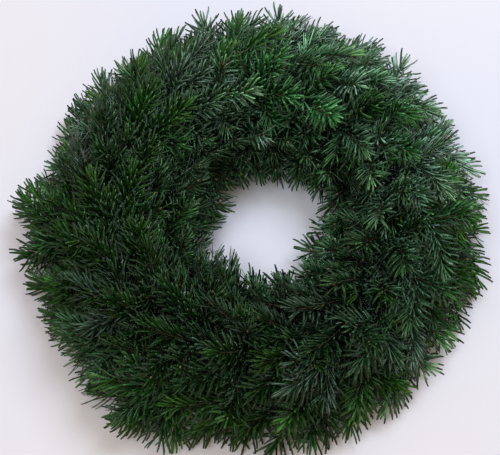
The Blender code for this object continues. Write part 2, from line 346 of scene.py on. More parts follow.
class Nodes:
    """One material's node tree, with the few steps that the finishes share."""

    def __init__(self, name: str) -> None:
        """Starts a material with an empty tree.

        Args:
            name: The material's name.
        """
        self.material = bpy.data.materials.new(name)
        self.material.use_nodes = True
        self.tree = self.material.node_tree
        self.tree.nodes.clear()

    def add(self, kind: str, settings: dict | None = None, **inputs: object) -> bpy.types.Node:
        """Adds a node, sets its properties, and fills or links its inputs.

        Args:
            kind: The node's type, such as "ShaderNodeTexNoise".
            settings: Properties of the node, by name.
            **inputs: Values or output sockets, by input name with _ for a space, or i0, i1 for a
                place.

        Returns:
            The node.
        """
        node = self.tree.nodes.new(kind)
        for key, value in (settings or {}).items():
            setattr(node, key, value)
        for key, value in inputs.items():
            numbered = key[0] == "i" and key[1:].isdigit()
            socket = node.inputs[int(key[1:]) if numbered else key.replace("_", " ")]
            if isinstance(value, Socket):
                self.tree.links.new(value, socket)
            else:
                socket.default_value = value
        return node

    def parts(self, attribute: str) -> list[Socket]:
        """The three numbers that each point has in one of the mesh's attributes."""
        vector = self.add("ShaderNodeAttribute", {"attribute_name": attribute}).outputs["Vector"]
        return list(self.add("ShaderNodeSeparateXYZ", i0=vector).outputs)

    def maths(self, operation: str, *values: Socket | float) -> Socket:
        """One step of arithmetic, such as MULTIPLY_ADD, on its values in order."""
        inputs = {f"i{k}": value for k, value in enumerate(values)}
        return self.add("ShaderNodeMath", {"operation": operation}, **inputs).outputs[0]

    def mapped(self, value: Socket, before: Pair, after: Pair, way: str = "LINEAR") -> Socket:
        """Maps a value from one range to another and holds it there, by LINEAR or SMOOTHSTEP."""
        return self.add("ShaderNodeMapRange", {"interpolation_type": way}, Value=value,
                        i1=before[0], i2=before[1], i3=after[0], i4=after[1]).outputs[0]

    def mixed(self, share: Socket, first: Socket | str, second: str) -> Socket:
        """A colour that goes from the first, a socket or sRGB hex, to the second by a share."""
        first = linear(first) if isinstance(first, str) else first
        return self.add("ShaderNodeMix", {"data_type": "RGBA"}, i0=share, i6=first,
                        i7=linear(second)).outputs[2]

    def ramp(self, value: Socket, stops: Pair, colours: tuple[str, str]) -> Socket:
        """A colour along a value.

        Args:
            value: What picks the colour.
            stops: Where each colour is full, from 0 to 1.
            colours: The two colours, in sRGB hex.

        Returns:
            The colour.
        """
        node = self.add("ShaderNodeValToRGB", i0=value)
        for element, stop, colour in zip(node.color_ramp.elements, stops, colours):
            element.position = stop
            element.color = linear(colour)
        return node.outputs["Color"]

    def place(self) -> Socket:
        """Where a point is in the piece's own space."""
        return self.add("ShaderNodeTexCoord").outputs["Object"]

    def noise(self, size: float, detail: float, roughness: float = 0.5) -> Socket:
        """Cloudy noise in the piece's own space, its largest grains size metres across."""
        return self.add("ShaderNodeTexNoise", Vector=self.place(), Scale=1 / size, Detail=detail,
                        Roughness=roughness).outputs["Fac"]

    def bump(self, height: Socket, relief: Pair, invert: bool = False) -> Socket:
        """The normal of a relief: how strong it is, then how deep in metres; inverted, it sinks."""
        return self.add("ShaderNodeBump", {"invert": invert}, Height=height, Strength=relief[0],
                        Distance=relief[1]).outputs[0]

    def with_painted_depth_shade(self, colour: Socket, shade: Socket, depth: Socket, light: Pair) -> Socket:
        """A needle's colour times its shade, with painted shade that darkens it deeper in the
        foliage.

        Args:
            colour: The colour.
            shade: How light the needle is.
            depth: 0 in the heart of the ring and 1 at the tips.
            light: The painted shade, what multiplies the shade in the heart, and at the tips.

        Returns:
            The colour.
        """
        shade = self.maths("MULTIPLY", shade, self.mapped(depth, PAINTED_SHADE_DEPTHS, light))
        node = self.add("ShaderNodeVectorMath", {"operation": "SCALE"}, i0=colour, Scale=shade)
        return node.outputs[0]

    def finish(self, **inputs: object) -> bpy.types.Material:
        """Adds the Principled shader and the output.

        Args:
            **inputs: The shader's inputs, as for add.

        Returns:
            The finished material.
        """
        shader = self.add("ShaderNodeBsdfPrincipled", **inputs)
        self.add("ShaderNodeOutputMaterial", Surface=shader.outputs[0])
        return self.material


@dataclass(frozen=True)
class NeedleUpper:
    """The upper side of a fresh fir needle: a living leaf with a waxy cuticle.

    The wax gives a satin gloss over deep green. Older needles are blue-green, with a pale streak
    along the middle that is partly waxy bloom and partly painted sheen, and this year's are
    yellower. Painted shade darkens the needles that lie deep in the foliage. The scale of its
    mottling is about 2 mm, along one needle. roughness is that of its smoothest and its roughest
    spots.
    """

    name: str = "fir_needle_upper"
    deep: str = "22531b"
    blue: str = "3b6352"
    fresh: str = "477e28"
    pale: str = "5f7d42"
    # The pale streak along the middle of bluer needles, partly waxy bloom and partly painted sheen.
    bloom_and_sheen: str = "93b39c"
    foot: float = 0.22
    foot_paleness: float = 0.5
    bloom_and_sheen_edges: Pair = (0.75, 0.2)
    bloom_and_sheen_shoots: Pair = (0.3, 0.8)
    strongest_bloom_and_sheen: float = 0.62
    least_shade: float = 0.08
    shade_range: float = 1.85
    mottle: float = 2 * MM
    mottle_shade: float = 0.5
    # Painted shade by depth in the foliage: what the colour is multiplied by in the heart and at
    # the tips.
    painted_depth_shade: Pair = (0.3, 1.1)
    steps: Pair = (0.3, 0.7)
    roughness: Pair = (0.2, 0.38)
    relief: Pair = (0.15, 0.1 * MM)
    ior: float = 1.5
    wax: float = 0.24
    wax_roughness: float = 0.3

    def material(self) -> bpy.types.Material:
        """Builds the material.

        The colour goes from deep to blue by the shoot, to fresh by youth, to pale at the foot, and
        to the streak of bloom and painted sheen along the middle of bluer needles. The needle's own
        shade, painted light and shade included, and the mottling, shade range times own shade +
        least shade + mottle shade times mottling, scale it, and painted shade darkens it deep in
        the foliage.

        Returns:
            The material.
        """
        nodes = Nodes(self.name)
        along, across, depth = nodes.parts("place")
        own, blueness, youth = nodes.parts("tone")
        colour = nodes.mixed(blueness, self.deep, self.blue)
        colour = nodes.mixed(youth, colour, self.fresh)
        at_foot = nodes.mapped(along, (0.0, self.foot), (self.foot_paleness, 0.0))
        colour = nodes.mixed(at_foot, colour, self.pale)
        # A pale streak along the middle of bluer needles: partly waxy bloom, partly painted sheen.
        bloom_and_sheen_streak = nodes.mapped(nodes.maths("ABSOLUTE", across), self.bloom_and_sheen_edges,
                              (0.0, self.strongest_bloom_and_sheen), "SMOOTHSTEP")
        bloom_and_sheen_share = nodes.mapped(blueness, self.bloom_and_sheen_shoots, (0.0, 1.0))
        colour = nodes.mixed(nodes.maths("MULTIPLY", bloom_and_sheen_streak, bloom_and_sheen_share), colour, self.bloom_and_sheen)
        mottle = nodes.noise(self.mottle, 2.0)
        shade = nodes.maths("MULTIPLY_ADD", own, self.shade_range, self.least_shade)
        shade = nodes.maths("MULTIPLY_ADD", mottle, self.mottle_shade, shade)
        return nodes.finish(
            Base_Color=nodes.with_painted_depth_shade(colour, shade, depth, self.painted_depth_shade),
            Roughness=nodes.mapped(mottle, self.steps, self.roughness),
            Normal=nodes.bump(mottle, self.relief), IOR=self.ior,
            Coat_Weight=self.wax, Coat_Roughness=self.wax_roughness)


@dataclass(frozen=True)
class NeedleUnder:
    """The underside of a fir needle: paler green with two chalky bands of breathing pores.

    Each band runs along the middle of one half, about 0.6 mm wide. It is matt and lies a little
    below the keel and the edges.
    """

    name: str = "fir_needle_under"
    green: str = "224f24"
    band: str = "668e69"
    band_edges: Pair = (0.34, 0.18)
    strongest_band: float = 0.4
    least_shade: float = 0.4
    shade_range: float = 0.6
    # Painted shade by depth in the foliage: what the colour is multiplied by in the heart and at
    # the tips.
    painted_depth_shade: Pair = (0.3, 1.1)
    steps: Pair = (0.0, 0.8)
    roughness: Pair = (0.5, 0.8)
    relief: Pair = (0.15, 0.1 * MM)
    ior: float = 1.45

    def material(self) -> bpy.types.Material:
        """Builds the material.

        A band's strength rises from 0 to 0.4 as ||across| - 0.5| falls from 0.34 to 0.18, so it
        is strongest half the way from the keel to an edge.

        Returns:
            The material.
        """
        nodes = Nodes(self.name)
        _, across, depth = nodes.parts("place")
        off_keel = nodes.maths("ABSOLUTE", across)
        off_band = nodes.maths("ABSOLUTE", nodes.maths("SUBTRACT", off_keel, 0.5))
        band = nodes.mapped(off_band, self.band_edges, (0.0, self.strongest_band), "SMOOTHSTEP")
        shade = nodes.maths("MULTIPLY_ADD", nodes.parts("tone")[0], self.shade_range,
                            self.least_shade)
        colour = nodes.mixed(band, self.green, self.band)
        # Painted shade darkens the underside the deeper it lies in the foliage.
        return nodes.finish(
            Base_Color=nodes.with_painted_depth_shade(colour, shade, depth, self.painted_depth_shade),
            Roughness=nodes.mapped(band, self.steps, self.roughness),
            Normal=nodes.bump(band, self.relief, invert=True), IOR=self.ior)


@dataclass(frozen=True)
class ResinBud:
    """A winter bud: overlapping papery scales about 1 mm long, sealed with resin that shines."""

    name: str = "fir_bud_resin"
    light: str = "948c68"
    dark: str = "5c5339"
    scale: float = 1 * MM
    stops: Pair = (0.1, 0.8)
    steps: Pair = (0.0, 0.8)
    roughness: Pair = (0.3, 0.6)
    relief: Pair = (0.5, 0.3 * MM)
    ior: float = 1.54

    def material(self) -> bpy.types.Material:
        """Builds the material, in cells that stand proud in the middle and are dark at the edge.

        Returns:
            The material.
        """
        nodes = Nodes(self.name)
        scales = nodes.add("ShaderNodeTexVoronoi", Vector=nodes.place(), Scale=1 / self.scale)
        off_middle = scales.outputs["Distance"]
        return nodes.finish(
            Base_Color=nodes.ramp(off_middle, self.stops, (self.light, self.dark)),
            Roughness=nodes.mapped(off_middle, self.steps, self.roughness),
            Normal=nodes.bump(off_middle, self.relief, invert=True), IOR=self.ior)


@dataclass(frozen=True)
class Grained:
    """Two colours in cloudy grains of one size, which also set the gloss and the relief.

    grain is their size, detail how many finer layers they have, and fineness how strong those are.
    stops holds the noise at which each colour is full, and steps the noise at which the roughness
    is at each of its two ends.
    """

    name: str
    colours: tuple[str, str]
    grain: float
    detail: float
    fineness: float
    stops: Pair
    steps: Pair
    roughness: Pair
    relief: Pair
    ior: float = 1.5

    def material(self) -> bpy.types.Material:
        """Builds the material from one noise.

        Returns:
            The material.
        """
        nodes = Nodes(self.name)
        grain = nodes.noise(self.grain, self.detail, self.fineness)
        return nodes.finish(
            Base_Color=nodes.ramp(grain, self.stops, self.colours),
            Roughness=nodes.mapped(grain, self.steps, self.roughness),
            Normal=nodes.bump(grain, self.relief), IOR=self.ior)


class Grains(Enum):
    """The finishes in two colours, and what each gives the eye."""

    # Young fir bark: dry, matt grey-brown, with fine cracks about 1.5 mm apart.
    BARK = Grained("fir_twig_bark", ("2b2a1a", "4f4a2e"), 1.5 * MM, 4.0, 0.65,
                   (0.3, 0.65), (0.3, 0.7), (0.72, 0.92), (0.6, 0.3 * MM))
    # A freshly cut fir stem: pale, damp end grain, in cloudy grains about 0.5 mm across.
    CUT_WOOD = Grained("fir_cut_wood", ("9a774a", "c9ac7c"), 0.5 * MM, 2.0, 0.5,
                       (0.35, 0.6), (0.3, 0.7), (0.6, 0.8), (0.3, 0.1 * MM))
    # Drawn steel wire dipped in dark green paint: smooth, with thin spots where it has rubbed.
    FRAME_WIRE = Grained("painted_frame_wire", ("1f3327", "4d5149"), 6 * MM, 5.0, 0.7,
                         (0.55, 0.72), (0.4, 0.7), (0.38, 0.63), (0.15, 0.2 * MM))
    # Thin florist wire with a coat of green lacquer, rubbed in smaller spots.
    BINDING_WIRE = Grained("lacquered_binding_wire", ("1b2d20", "3f4a3d"), 3 * MM, 5.0, 0.7,
                           (0.55, 0.72), (0.4, 0.7), (0.38, 0.63), (0.15, 0.2 * MM))


@dataclass(frozen=True)
class PaleSheet:
    """The studio floor: a matt white sheet, a little warmer in wide, soft patches."""

    name: str = "pale_sheet"
    colours: tuple[str, str] = ("e9edfa", "f1f0f5")
    stops: Pair = (0.35, 0.65)
    patch: float = 1 / 1.2
    roughness: float = 0.9

    def material(self) -> bpy.types.Material:
        """Builds the material.

        Returns:
            The material.
        """
        nodes = Nodes(self.name)
        colour = nodes.ramp(nodes.noise(self.patch, 1.0), self.stops, self.colours)
        return nodes.finish(Base_Color=colour, Roughness=self.roughness)


# --- Shoots ---


@dataclass(frozen=True)
class FlatMap:
    """How a leafy piece's flat map is shared: cells for needles below, strips for twigs above.

    Heights are shares of the map, but for those inside a cell. A needle's upper side lies round
    upper in its cell and its underside round under, each half wide to a side.
    """

    needles_tall: float = 0.86
    cells_across: float = 2.2
    cell_foot: float = 0.06
    cell_tall: float = 0.88
    upper: float = 0.29
    under: float = 0.71
    half: float = 0.19
    strips_foot: float = 0.88
    strips_tall: float = 0.11
    strip_edge: float = 0.05
    strip_wide: float = 0.9
    cut_height: float = 0.992
    cut_radius: float = 0.005


FLAT_MAP = FlatMap()


@dataclass
class Shoot:
    """One leafy twig.

    path runs from its root to its bud. face is the direction that the upper side of its comb of
    needles looks in. bare is the length at its root with no needles, and density how many needles
    a metre has. flatness is 0 for needles all round and 1 for a flat comb. shade is 0 for deep
    green and 1 for blue-green, and young is how yellow the newest needles are. How light all of
    them are is painted light and shade times the bough's own tone. stem is the wood below its
    root, on the shoot that has the spray's stem.
    """

    path: np.ndarray
    face: np.ndarray
    base_radius: float
    bare: float
    density: float
    flatness: float
    shade: float
    young: float
    # How light the needles are: painted light and shade by the turn, times the bough's own tone.
    bright: float = 1.0
    stem: np.ndarray | None = None

    def lengths(self) -> np.ndarray:
        """The distance along the path to each of its points."""
        steps = np.linalg.norm(np.diff(self.path, axis=0), axis=1)
        return np.concatenate([[0], np.cumsum(steps)])

    def at(self, distances: np.ndarray, values: np.ndarray) -> np.ndarray:
        """Values given at the path's points, read at distances along it."""
        known = self.lengths()
        return np.stack([np.interp(distances, known, column) for column in values.T], -1)


@dataclass
class Needles:
    """The needles of some shoots: where each is rooted, its direction, its upper side and tone.

    ahead is the way that its tip bends, towards the end of its twig. light is how near its middle
    lies to the foliage's edge, which sets the painted shade deep in the foliage.
    """

    roots: np.ndarray
    along: np.ndarray
    upper: np.ndarray
    ahead: np.ndarray
    length: np.ndarray
    tone: np.ndarray
    light: np.ndarray


@dataclass
class NeedleForm:
    """A flat needle with a keel below: a pointed foot, two even edges and a narrower, blunt tip.

    Its points are the foot, the near edges, the keel, the far edges and the tip's two corners.
    shares holds how far along each one is and edges which side it is on, and the faces above come
    before those below. What follows upper_faces is how needles stand on a shoot, in degrees and
    shares, which grow puts together.
    """

    length: float = 31 * MM
    width: float = 2.6 * MM
    tip: float = 1.9 * MM
    keel: float = 0.7 * MM
    rise: float = 0.8 * MM
    bend: float = 5.5 * MM
    shares: tuple[float, ...] = (0, 0.2, 0.2, 0.34, 0.8, 0.8, 1, 1)
    edges: tuple[int, ...] = (0, 1, -1, 0, 1, -1, 1, -1)
    faces: np.ndarray = field(default_factory=lambda: np.array([
        (0, 2, 1), (1, 2, 5), (1, 5, 4), (4, 5, 7), (4, 7, 6),
        (0, 1, 3), (0, 3, 2), (1, 4, 3), (4, 6, 3), (2, 3, 5), (5, 3, 7), (3, 6, 7),
    ]))
    upper_faces: int = 5
    foot_drop: float = 0.3
    fewest: int = 8
    step_spread: Pair = (0.2, 0.8)
    spiral_spread: float = 0.09
    crowding: float = 0.4
    combing: float = 0.8
    lift: float = 0.12
    root_lean: float = 72.0
    lean_fall: float = 6.0
    bud_fall: float = 26.0
    bud_from: float = 0.8
    bud_over: float = 0.2
    over_fall: float = 28.0
    lean_spread: float = 3.5
    facing: tuple[float, float, float] = (0.8, 0.45, 0.1)
    end_length: Pair = (0.76, 0.24)
    over_shorter: float = 0.12
    length_spread: Pair = (0.9, 1.08)
    tuft: float = 3.2 * MM
    tuft_sides: int = 3
    tuft_shade: Pair = (0.7, 0.3)
    # Painted shade on the needles below the twig, and how far round it reaches.
    painted_shade_below: Pair = (0.65, 0.35)
    painted_shade_below_from: float = 0.4
    shoot_shade: Pair = (0.6, 1.25)

    def grow(self, shoot: Shoot, dice: np.random.Generator) -> Needles:
        """Sets needles on a shoot in a golden-angle spiral that is combed to both sides.

        The angle a loses crowding sin(a), which crowds the needles over the twig and thins them
        below. A needle leaves square to the twig by sin(a) side + (flat cos(a) + lift) face, with
        flat = 1 - combing x flatness. It stands 72 degrees off the twig at the root of the shoot
        and 40 at its bud, and up to 28 less where it lies over the twig. Its upper side looks
        between the face, the twig's end and chance, as facing shares them. It is 0.76 + 0.24
        sqrt(4s (1 - s)) of the full length at a share s of the shoot. Needles of one tuft on one
        side are nearly of one shade, those below the twig get painted shade, some shoots are
        darker, and the shoot's painted light and shade, times its bough's own tone, scales them
        all.

        Args:
            shoot: The shoot.
            dice: The source of unevenness.

        Returns:
            Its needles.
        """
        total = shoot.lengths()[-1]
        count = max(int((total - shoot.bare) * shoot.density), self.fewest)
        share = (np.arange(count) + dice.uniform(*self.step_spread, count)) / count
        distance = shoot.bare + share * (total - shoot.bare)
        centre = shoot.at(distance, shoot.path)
        twig = unit(shoot.at(distance, unit(np.gradient(shoot.path, axis=0))))
        face = square_to(np.broadcast_to(shoot.face, twig.shape), twig)
        side = np.cross(twig, face)
        spiral = np.arange(count) * GOLDEN_ANGLE + dice.normal(0, self.spiral_spread, count)
        spiral = spiral - self.crowding * np.sin(spiral)
        over = np.cos(spiral)
        flat = 1 - self.combing * shoot.flatness
        out = unit(np.sin(spiral)[:, None] * side + (flat * over + self.lift)[:, None] * face)
        lean = (self.root_lean - self.lean_fall * share
                - self.bud_fall * smooth_step((share - self.bud_from) / self.bud_over)
                - self.over_fall * np.maximum(over, 0))
        lean = np.radians(lean + dice.normal(0, self.lean_spread, count))[:, None]
        along = np.cos(lean) * twig + np.sin(lean) * out
        by_face, by_twig, by_chance = self.facing
        chance = dice.normal(0, 1, (count, 3))
        upper = square_to(by_face * face + by_twig * twig + by_chance * chance, along)
        least, more = self.end_length
        length = self.length * (least + more * np.sqrt(np.clip(4 * share * (1 - share), 0, 1)))
        length = length * (1 - self.over_shorter * (over > 0.5))
        length = length * dice.uniform(*self.length_spread, count)
        young = smooth_step((share - 0.5) / 0.5) * shoot.young * dice.uniform(0.5, 1, count)
        hand = np.floor(self.tuft_sides / 2 * (1 + np.sin(spiral))).astype(int)
        tuft = (distance / self.tuft).astype(int) * self.tuft_sides + hand
        by_tuft, by_needle = self.tuft_shade
        own = by_tuft * dice.uniform(0, 1, tuft.max() + 1)[tuft]
        own = own + by_needle * dice.uniform(0, 1, count)
        # Painted shade on the needles below the twig.
        least, more = self.painted_shade_below
        own = own * (least + more * np.clip(over + self.painted_shade_below_from, 0, 1))
        own = own * dice.uniform(*self.shoot_shade) * shoot.bright
        tone = np.stack([own, np.full(count, shoot.shade), young], -1)
        # How deep the needle lies, for the painted shade that darkens the heart of the foliage.
        light = depth_in_foliage(centre + along * length[:, None] / 2)
        return Needles(centre, along, upper, square_to(twig, along), length, tone, light)

    def surface(self, needles: Needles) -> Surface:
        """The needles' triangles.

        With x the share along, point = root + x length along + y across + z upper + bend x^2
        ahead, across = upper x along, and z = rise x^2 but for the foot and the keel, which lie
        lower.

        Args:
            needles: Where the needles are.

        Returns:
            The surface, with its flat map's cells in rows and columns, one for each needle.
        """
        count = len(needles.roots)
        across = np.cross(needles.upper, needles.along)
        x = np.array(self.shares)
        edge = np.array(self.edges)
        y = edge * np.where(x == 1, self.tip, self.width) / 2
        z = self.rise * x ** 2
        z[0], z[3] = -self.foot_drop * self.keel, z[3] - self.keel
        ahead = self.bend * x ** 2
        full = needles.length[:, None] * needles.along
        points = (needles.roots[:, None] + x[:, None] * full[:, None]
                  + y[:, None] * across[:, None] + z[:, None] * needles.upper[:, None]
                  + ahead[:, None] * needles.ahead[:, None])
        faces = self.faces[None] + len(x) * np.arange(count)[:, None, None]
        place = np.tile(np.stack([x, edge, np.zeros(len(x))], -1), (count, 1))
        place[:, 2] = np.repeat(needles.light, len(x))
        is_under = np.arange(len(self.faces)) >= self.upper_faces
        middle = np.where(is_under, FLAT_MAP.under, FLAT_MAP.upper)[:, None]
        beside = middle + FLAT_MAP.half * edge[self.faces]
        corner = np.stack([beside, x[self.faces]], -1).reshape(-1, 2)
        columns = max(int(math.sqrt(count * FLAT_MAP.cells_across)), 1)
        rows = math.ceil(count / columns)
        cell = np.arange(count)
        u = (cell % columns)[:, None] + corner[None, :, 0]
        tall = FLAT_MAP.cell_tall * corner[None, :, 1]
        v = (cell // columns)[:, None] + FLAT_MAP.cell_foot + tall
        return Surface(
            points.reshape(-1, 3),
            faces.reshape(-1, 3),
            np.tile(np.where(is_under, Skin.UNDER, Skin.UPPER), count),
            place,
            np.repeat(needles.tone, len(x), axis=0),
            np.stack([u / columns, v / rows * FLAT_MAP.needles_tall], -1).reshape(-1, 2),
        )


@dataclass
class TwigForm:
    """A twig with its bud: bark that thins to a small pointed bud, and a cut end on a stem."""

    sides: int = 5
    tip_radius: float = 0.6 * MM
    bud_radius: float = 1.6 * MM
    bud_length: float = 5.0 * MM
    bud_shares: tuple[float, ...] = (0.12, 0.35, 0.65, 0.9, 1.0)

    def surface(self, shoot: Shoot, cell: int, cells: int) -> Surface:
        """A tube along the shoot's stem and path, and on through its bud.

        The radius falls evenly to the tip. In the bud it is its width times
        sin(pi (0.25 + 0.75 share)), and at least 0.04 of it.

        Args:
            shoot: The shoot.
            cell: The twig's place on the piece's flat map.
            cells: How many twigs the map holds.

        Returns:
            The surface.
        """
        end = unit(shoot.path[-1] - shoot.path[-2])
        share = np.array(self.bud_shares)
        bud = shoot.path[-1] + share[:, None] * self.bud_length * end
        swell = np.sin(math.pi * np.minimum(0.25 + 0.75 * share, 1))
        swell = np.maximum(swell, 0.04) * self.bud_radius
        wood = shoot.path if shoot.stem is None else np.concatenate([shoot.stem, shoot.path])
        taper = np.linspace(shoot.base_radius, self.tip_radius, len(wood))
        path = np.concatenate([wood, bud])
        points, faces, unrolled = tube(path, np.concatenate([taper, swell]), shoot.face, self.sides)
        is_wood = np.arange(len(path) - 1) < len(wood) - 1
        skins = np.repeat(np.where(is_wood, Skin.BARK, Skin.BUD), 2 * self.sides)
        place = np.zeros((len(points), 3))
        place[:, 0] = np.repeat(np.linspace(0, 1, len(path)), self.sides)
        u = (cell + FLAT_MAP.strip_edge + FLAT_MAP.strip_wide * unrolled[:, 0]) / cells
        v = FLAT_MAP.strips_foot + FLAT_MAP.strips_tall * unrolled[:, 1]
        tone = np.full((len(points), 3), shoot.shade)
        surface = Surface(points, faces, skins, place, tone, np.stack([u, v], -1))
        if shoot.stem is None:
            return surface
        return Surface.joined([surface, self.cut_end(points[: self.sides], cell, cells)])

    def cut_end(self, rim: np.ndarray, cell: int, cells: int) -> Surface:
        """A flat fan that closes a stem where it was cut.

        Args:
            rim: The stem's first ring of points.
            cell: The twig's place on the piece's flat map.
            cells: How many twigs the map holds.

        Returns:
            The surface.
        """
        sides = len(rim)
        points = np.concatenate([rim, rim.mean(0, keepdims=True)])
        j = np.arange(sides)
        faces = np.stack([np.full(sides, sides), (j + 1) % sides, j], -1)
        angle = np.stack([np.zeros(sides), j + 1, j], -1) * 2 * math.pi / sides
        reach = np.array([0.0, FLAT_MAP.cut_radius, FLAT_MAP.cut_radius])
        u = (cell + 0.5) / cells + reach * np.cos(angle)
        v = FLAT_MAP.cut_height + reach * np.sin(angle)
        flat = np.stack([u, v], -1).reshape(-1, 2)
        zero = np.zeros((sides + 1, 3))
        return Surface(points, faces, np.full(sides, Skin.CUT), zero, zero, flat)


# --- Sprays ---


def round_table(turn: float, table: tuple[float, ...], step: int) -> float:
    """A table's value at a turn: its entries are step degrees apart, and the last meets the first.

    Args:
        turn: The turn, from 0 to 360 degrees.
        table: The entries, from turn 0.
        step: How far apart they are, in degrees.

    Returns:
        The value.
    """
    return float(np.interp(turn, np.arange(0, 361, step), table + table[:1]))


@dataclass(frozen=True)
class Tip:
    """Where a shoot ends in the ring's coordinates, and how far out it forks (0 for the main)."""

    tilt: float
    turn: float
    reach: float
    fork: float = 0.0


@dataclass(frozen=True)
class Tint:
    """How the needles of a ring of sprays change round it: painted light and shade, and blueness.

    At a turn t degrees a spray's needles are dim + lift ((1 + cos(t - p)) / 2) ^ 3 times as
    light as usual, with p the turn of most painted light; that is painted light and shade. They
    are blue + swing cos(t - bluest) of the way from leaf green to blue-green, and the bluer ones
    get more of the painted sheen streak.
    """

    dim: float
    lift: float
    painted_light_peak: float
    blue: float
    bluest: float
    swing: float = 0.24

    def light(self, turn: float) -> float:
        """The painted light and shade on a spray's needles at a turn, as a share of the usual
        lightness.
        """
        near = (1 + math.cos(math.radians(turn - self.painted_light_peak))) / 2
        return self.dim + self.lift * near ** 3

    def blueness(self, turn: float) -> float:
        """How blue-green a spray's needles are at a turn; bluer ones get more painted sheen."""
        return self.blue + self.swing * math.cos(math.radians(turn - self.bluest))


@dataclass(frozen=True)
class Row:
    """One ring of sprays: the lane of their stems, where they leave it, how they sweep round.

    lean is how many degrees round a shoot goes for each metre outwards. swell is how much of a
    station's own growth the shoots take, and shift how far the hole lies off the ring's centre.
    roll turns the flat side of its fronds from the way they sweep towards the ring's upper side.
    fillers more shoots fill the space between the tilts low and high, and reach least to most of
    the way out. bow is how many degrees farther round a shoot's tip bends than its solid's. tint
    is its needles' colour, with painted light and shade round the ring, and tips where the solid's
    own shoots end.
    """

    name: str
    lane: float
    leave: float
    lean: float
    swell: float
    shift: float
    roll: float
    fillers: int
    low: float
    high: float
    least: float
    most: float
    bow: float
    tint: Tint
    tips: tuple[Tip, ...]


class Rows(Enum):
    """The wreath's three rings of sprays."""

    # Each row's Tint paints light and shade round the ring, and sets its blueness.
    OUTER = Row("outer_spray", 12 * MM, 11.5, -60, 1, 0, 70, 8, -8, 52, 0.55, 0.95, 8,
                Tint(0.88, 1.02, 68, 0.28, 80), (
        Tip(12, 0.5, 143 * MM),
        Tip(4, -6.5, 139 * MM, 52 * MM),
        Tip(6, 6.5, 140 * MM, 64 * MM),
        Tip(31, -1.0, 134 * MM, 42 * MM)))
    CROWN = Row("crown_spray", 0, 16, -170, 0.5, 0, 35, 11, 36, 112, 0.5, 0.82, 8,
                Tint(0.37, 1.7, 80, 0.28, 50), (
        Tip(66, 3.5, 124 * MM),
        Tip(50, -4.5, 130 * MM, 40 * MM),
        Tip(92, -3.0, 113 * MM, 46 * MM)))
    INNER = Row("inner_spray", -12 * MM, 20.5, -160, 0, HOLE_SHIFT, 55, 10, 98, 194, 0.5, 0.85, 4,
                Tint(0.97, 2.1, 20, 0.17, 20), (
        Tip(126, 1.0, 89 * MM),
        Tip(158, -2.0, 76 * MM, 36 * MM)))


